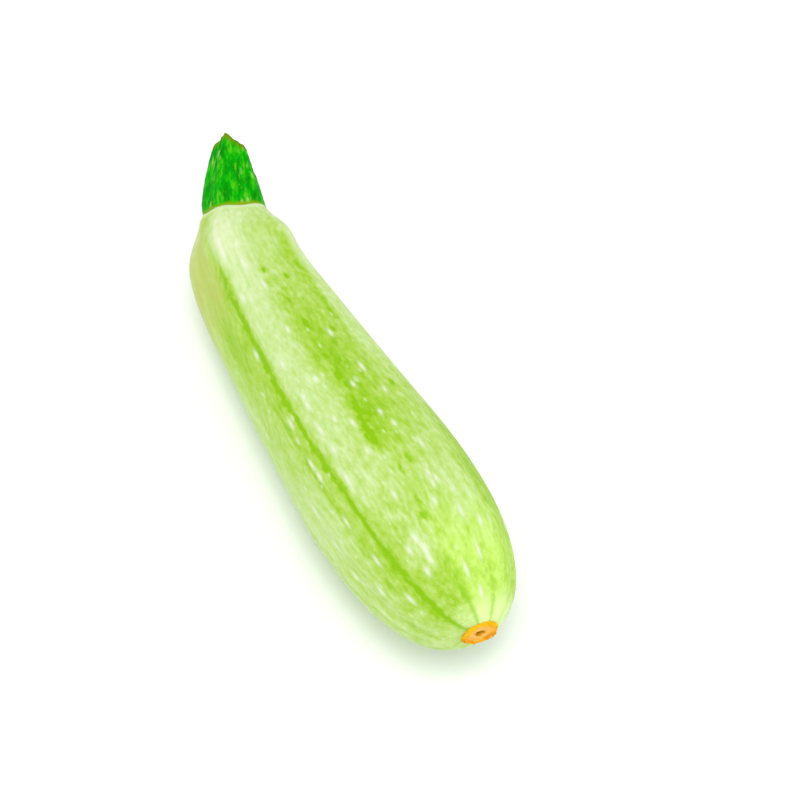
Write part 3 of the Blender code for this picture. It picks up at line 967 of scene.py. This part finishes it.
def stem_material():
    made, tree, shader = material("woody_ribbed_stem")
    place = trait(tree, "straight", "Vector")
    into_cut = trait(tree, "into_cut")
    coarse = drawn_out(tree, place, 0.0024, 2.2)
    fine = drawn_out(tree, place, 0.0008, 3.6)
    streaks = drawn_out(tree, place, 0.0016, 2.8)
    dashes = grouped(
        tree, flecks_tree, "Mask", Place=place, Across=0.0028, Stretch=2.6, Smallest=0.28,
        Largest=0.44, Share=0.90,
    )
    tone = plus(tree, times(tree, coarse, 0.76), fine, 0.32)
    foot = spread(tree, plus(tree, trait(tree, "up_stem"), coarse, 0.08), 0.16, 0.10, 0.0, 0.95)
    rim = spread(tree, trait(tree, "from_cut"), 0.0022, 0.0003)
    rim = times(tree, rim, spread(tree, coarse, 0.35, 0.6, 0.25, 0.95))
    grain = noise(tree, place, 2600.0, 4.0, 0.6)
    pith = over(tree, ramp(tree, into_cut, PITH), PITH_GRAIN, spread(tree, grain, 0.5, 0.75, 0.0, 0.7))
    colour = layered(tree, ramp(tree, tone, STEM_GREENS), (
        (PALE_STREAK, spread(tree, streaks, 0.53, 0.68, 0.0, 0.8)),
        (PALE_DASH, times(tree, dashes, spread(tree, streaks, 0.3, 0.6, 0.35, 0.95))),
        (FOOT_OLIVE, foot),
        (RIM_BROWN, rim),
        (pith, spread(tree, into_cut, 0.0, 0.03)),
    ))
    tree.links.new(colour, shader.inputs["Base Color"])
    height = plus(tree, plus(tree, coarse, fine), dashes, 0.6)
    roughen(tree, shader, calc(tree, "MULTIPLY_ADD", fine, 0.25, 0.50), height, 0.6, 0.0004, 0.05)
    return made


stem.data.materials.append(stem_material())
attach(stem, "root")
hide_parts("stem")

# The flower's scar: the corky disc where the flower dropped off. Its rim is dry and raised
# in five low lobes, its face is dished and crazed, and the style left a pit in the middle.
SCAR_PROUD = 0.0009
SCAR_PIT_RADIUS = 0.0013
SCAR_PIT_DEPTH = 0.0011
SCAR_LOBES = 0.035
SCAR_CHIPS = 0.10
SCAR_FACE = 0.0002  # height of the face over its seat
LIP = (0.0003, 0.28, 0.09)  # height round the pit, and where and how wide, as shares of the radius
RIM = (0.8 * SCAR_PROUD, 0.87, 0.10)
EDGE_DROP = (0.0010, 0.93, 1.5)  # how far the edge turns down, from what share, and how roundly
CRAZING = 0.00010
ROUGHNESS = 0.0002
SCAR_COLUMNS = 180
SCAR_ROWS = 90
SCAR_CORE = 0.02  # share of the radius that the innermost row has
SCAR_FOOT = 0.0012  # how far the disc runs into the fruit
FOOT_SPREAD = 1.05
SCAR_MAP_RADIUS = 0.48

seat_share = share_of_height((SCAR_DIAMETER / 2 + GAP) / (FRUIT_DIAMETER / 2), BLUNT_POWER)
seat_station = FRUIT_LENGTH * (1 - BLUNT_SHARE + BLUNT_SHARE * seat_share)
spoke = np.linspace(0, 2 * np.pi, SCAR_COLUMNS, endpoint=False)
reach, spoke = np.meshgrid(np.linspace(1, SCAR_CORE, SCAR_ROWS), spoke, indexing="ij")
ragged = slow_patches(6 * reach, spoke, 21, 9) - 0.5
chipped = slow_patches(0 * reach, 2.0 * spoke, 12, 3) - 0.5
outline = 1 + reach * (SCAR_LOBES * np.cos(BROAD_RIBS * (spoke - RIB_ANGLE)) + SCAR_CHIPS * chipped)
scar_radius = SCAR_DIAMETER / 2 * reach * outline
scar_height = SCAR_FACE + ROUGHNESS * ragged
scar_height -= SCAR_PIT_DEPTH * np.exp(-((reach * SCAR_DIAMETER / 2 / SCAR_PIT_RADIUS) ** 4))
scar_height += LIP[0] * bell(reach - LIP[1], LIP[2])
scar_height += RIM[0] * bell(reach - RIM[1], RIM[2]) * (1 + 1.3 * ragged)
scar_height -= EDGE_DROP[0] * np.clip((reach - EDGE_DROP[1]) / (1 - EDGE_DROP[1]), 0, 1) ** EDGE_DROP[2]
scar_height += CRAZING * np.sin(19 * spoke + 8 * reach) * np.sin(34 * reach + 2 * spoke)
scar_station = seat_station + np.concatenate([0 * spoke[:1] - SCAR_FOOT, scar_height])
scar_radius = np.concatenate([scar_radius[:1], scar_radius])
reach = np.concatenate([FOOT_SPREAD * reach[:1], reach])
spoke = np.concatenate([spoke[:1], spoke])
scar_rows = pitched(askew(bent(scar_station, scar_radius, spoke))) + lay
scar_traits = {
    "straight": np.stack([scar_station, scar_radius * np.cos(spoke), scar_radius * np.sin(spoke)], -1),
    "reach": reach,
    "rim_patch": slow_patches(2 * reach, spoke, 31, 6),
}


def disc_map(row, across):
    """The disc lies flat on the map, its foot round the outside."""
    reach = SCAR_MAP_RADIUS * (len(scar_rows) - row) / len(scar_rows)
    turn = 2 * np.pi * across
    return 0.5 + np.stack([reach * np.cos(turn), reach * np.sin(turn)], -1)


scar = turned_piece("flower_scar", scar_rows, scar_traits, disc_map)


# Painted lighter with END_LIGHT, like the other colours of the flower end.
CORK = (  # from the pit to the edge
    (0.06, paint(168, 116, 0, END_LIGHT)),
    (0.22, paint(206, 146, 6, END_LIGHT)),
    (0.36, paint(255, 206, 112, END_LIGHT)),
    (0.66, paint(255, 196, 92, END_LIGHT)),
    (0.84, paint(255, 182, 50, END_LIGHT)),
    (0.97, paint(250, 190, 14, END_LIGHT)),
)
DARK_CORK = paint(208, 136, 0, END_LIGHT)
DRY_CORK = paint(255, 222, 150, END_LIGHT)


def scar_material():
    made, tree, shader = material("dry_cork")
    place = trait(tree, "straight", "Vector")
    reach = trait(tree, "reach")
    coarse = noise(tree, place, 700.0, 4.0, 0.6)
    fine = noise(tree, place, 2600.0, 3.0, 0.6)
    blurred = plus(tree, reach, centred(tree, coarse), 0.35)
    dark = times(tree, spread(tree, trait(tree, "rim_patch"), 0.5, 0.85), spread(tree, reach, 0.6, 0.9))
    colour = layered(tree, ramp(tree, blurred, CORK), (
        (DARK_CORK, times(tree, dark, 0.6)),
        (DRY_CORK, spread(tree, coarse, 0.55, 0.75, 0.0, 0.6)),
    ))
    tree.links.new(colour, shader.inputs["Base Color"])
    rough = calc(tree, "MULTIPLY_ADD", fine, 0.2, 0.6)
    roughen(tree, shader, rough, plus(tree, coarse, fine, 0.5), 0.8, 0.0004, 0.05)
    return made


scar.data.materials.append(scar_material())
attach(scar, "root")
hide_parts("blossom_scar")

# The surface and the light: a plain white table, a broad soft lamp overhead, and a white
# room whose walls are brighter than its ceiling. None of it belongs to the object.
FLOOR_REACH = 6.0
TABLE_WHITES = ((0.3, (0.92, 0.93, 0.94, 1)), (0.7, (0.94, 0.95, 0.96, 1)))
LAMP_PLACE = (0.20, -0.12, 1.12)
LAMP_AIM = (0.0, 0.0, 0.02)
LAMP_SIZE = 0.50
LAMP_WATTS = 5.6
LAMP_COLOUR = (1.0, 0.99, 0.96)
WALL_LIGHT = 1.25
CEILING_LIGHT = 0.80
ROOM_COLOUR = (0.97, 0.98, 1.0, 1.0)
floor_mesh = bpy.data.meshes.new("white_table")
corners = [(-1, -1), (1, -1), (1, 1), (-1, 1)]
floor_mesh.from_pydata([(FLOOR_REACH * x, FLOOR_REACH * y, 0.0) for x, y in corners], [], [(0, 1, 2, 3)])
white_table = bpy.data.objects.new("white_table", floor_mesh)
bpy.context.scene.collection.objects.link(white_table)
table_paint, table_tree, table_shader = material("white_table_top")
table_grain = noise(table_tree, put(table_tree, "ShaderNodeTexCoord").outputs["Object"], 40.0)
table_tree.links.new(ramp(table_tree, table_grain, TABLE_WHITES), table_shader.inputs["Base Color"])
table_shader.inputs["Roughness"].default_value = 0.7
floor_mesh.materials.append(table_paint)

softbox_light = bpy.data.lights.new("overhead_softbox", "AREA")
softbox_light.shape = "SQUARE"
softbox_light.size = LAMP_SIZE
softbox_light.energy = LAMP_WATTS
softbox_light.color = LAMP_COLOUR
softbox = bpy.data.objects.new("overhead_softbox", softbox_light)
softbox.location = LAMP_PLACE
softbox.rotation_mode = "QUATERNION"
softbox.rotation_quaternion = (Vector(LAMP_AIM) - Vector(LAMP_PLACE)).to_track_quat("-Z", "Y")
bpy.context.scene.collection.objects.link(softbox)
world = bpy.data.worlds.new("white_room")
world.use_nodes = True
room = world.node_tree
background = room.nodes["Background"]
background.inputs["Color"].default_value = ROOM_COLOUR
direction = put(room, "ShaderNodeTexCoord").outputs["Generated"]
upwards = put(room, "ShaderNodeSeparateXYZ", {0: direction}).outputs["Z"]
room.links.new(spread(room, upwards, 0.0, 1.0, WALL_LIGHT, CEILING_LIGHT), background.inputs["Strength"])
bpy.context.scene.world = world
bpy.context.scene.view_settings.view_transform = "Standard"

# The camera looks down along the fruit from beyond its flower end.
CAMERA_AZIMUTH = math.radians(61.75)
CAMERA_ELEVATION = math.radians(59.875)
CAMERA_DISTANCE = 0.75
SENSOR_WIDTH = 36.0
PICTURE_WIDTH = 800
FOCAL_PIXELS = 2130
AIM_PIXEL = (326, 392.25)  # where the point that it aims at falls
AIM_TO_STEM = 0.0087  # that point's distance from the middle of the fruit
AIM_HEIGHT = 0.0306
camera_data = bpy.data.cameras.new("camera")
camera_data.sensor_width = SENSOR_WIDTH
camera_data.lens = SENSOR_WIDTH * FOCAL_PIXELS / PICTURE_WIDTH
camera_data.shift_x = (PICTURE_WIDTH / 2 - AIM_PIXEL[0]) / PICTURE_WIDTH
camera_data.shift_y = (AIM_PIXEL[1] - PICTURE_WIDTH / 2) / PICTURE_WIDTH
camera = bpy.data.objects.new("camera", camera_data)
level = Vector((math.sin(CAMERA_AZIMUTH), -math.cos(CAMERA_AZIMUTH), 0.0))
back = level * math.cos(CAMERA_ELEVATION) + Vector((0.0, 0.0, math.sin(CAMERA_ELEVATION)))
aim = Vector(((low.x + high.x) / 2 - AIM_TO_STEM, (low.y + high.y) / 2, AIM_HEIGHT))
camera.location = aim + back * CAMERA_DISTANCE
camera.rotation_mode = "QUATERNION"
camera.rotation_quaternion = back.to_track_quat("Z", "Y")
bpy.context.scene.collection.objects.link(camera)
bpy.context.scene.camera = camera
